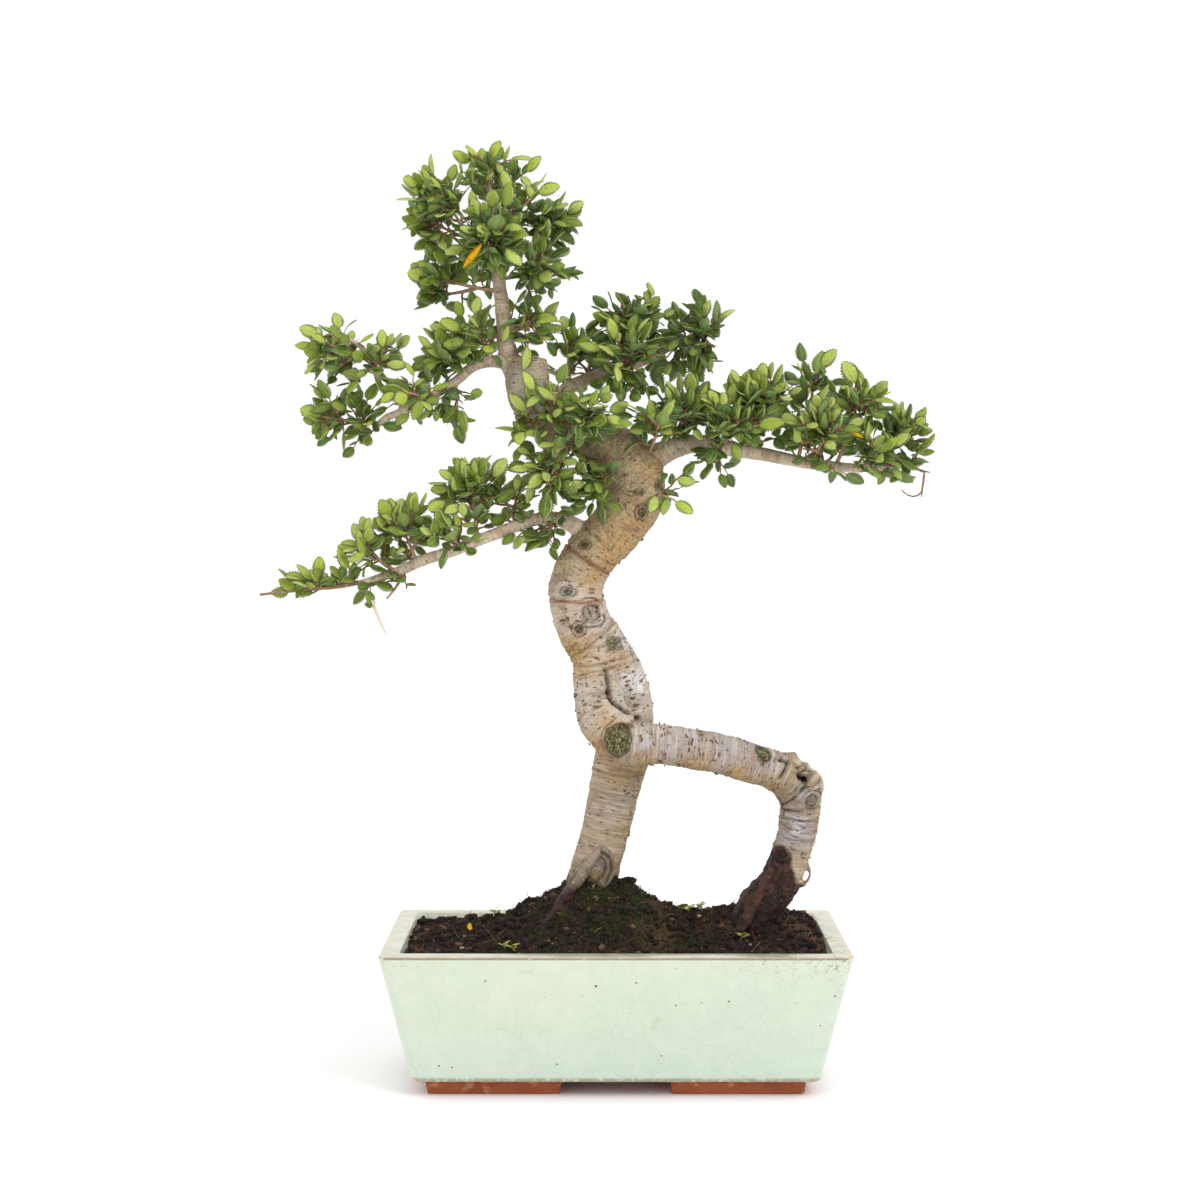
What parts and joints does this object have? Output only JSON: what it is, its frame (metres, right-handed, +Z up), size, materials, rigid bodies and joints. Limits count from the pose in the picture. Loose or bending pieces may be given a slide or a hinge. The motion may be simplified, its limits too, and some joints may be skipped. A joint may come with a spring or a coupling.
{
  "type": "chinese elm bonsai",
  "caption": "Informal upright elm bonsai with a striding two-legged trunk, long side boughs and small toothed leaves, in a shallow glazed rectangular pot on corner feet.",
  "frame": {"origin": "centre of the whole plant's and pot's bounding box, on the surface that the feet stand on", "axes": "+Z up; +X to the right and +Y to the back, seen from the pot's long front side"},
  "size_m": [0.4186, 0.1492, 0.61],
  "materials": {
    "glaze": "gloss",
    "soil": "matte",
    "mesh_plastic": "matte",
    "wire": "satin",
    "bark": "matte",
    "leaf": "satin"
  },
  "bodies": {
    "root": {"pot": "glaze", "soil": "soil", "drainage_mesh_1": "mesh_plastic", "drainage_mesh_2": "mesh_plastic", "mesh_clip_1": "wire", "mesh_clip_2": "wire", "trunk": "bark", "spray_01": "leaf", "spray_02": "leaf", "spray_03": "leaf", "spray_04": "leaf", "spray_05": "leaf", "spray_06": "leaf", "spray_07": "leaf", "spray_08": "leaf", "spray_09": "leaf", "spray_10": "leaf", "spray_11": "leaf", "spray_12": "leaf", "spray_13": "leaf", "spray_14": "leaf", "spray_15": "leaf", "spray_16": "leaf", "spray_17": "leaf", "spray_18": "leaf", "spray_19": "leaf", "spray_20": "leaf", "spray_21": "leaf", "spray_22": "leaf", "spray_23": "leaf", "spray_24": "leaf", "spray_25": "leaf", "spray_26": "leaf", "spray_27": "leaf", "spray_28": "leaf", "spray_29": "leaf", "spray_30": "leaf", "spray_31": "leaf", "spray_32": "leaf", "spray_33": "leaf", "spray_34": "leaf", "spray_35": "leaf", "spray_36": "leaf", "spray_37": "leaf", "spray_38": "leaf", "spray_39": "leaf", "spray_40": "leaf", "spray_41": "leaf", "spray_42": "leaf", "spray_43": "leaf", "spray_44": "leaf", "spray_45": "leaf", "spray_46": "leaf", "spray_47": "leaf", "spray_48": "leaf", "spray_49": "leaf", "spray_50": "leaf"}
  },
  "joints": []
}
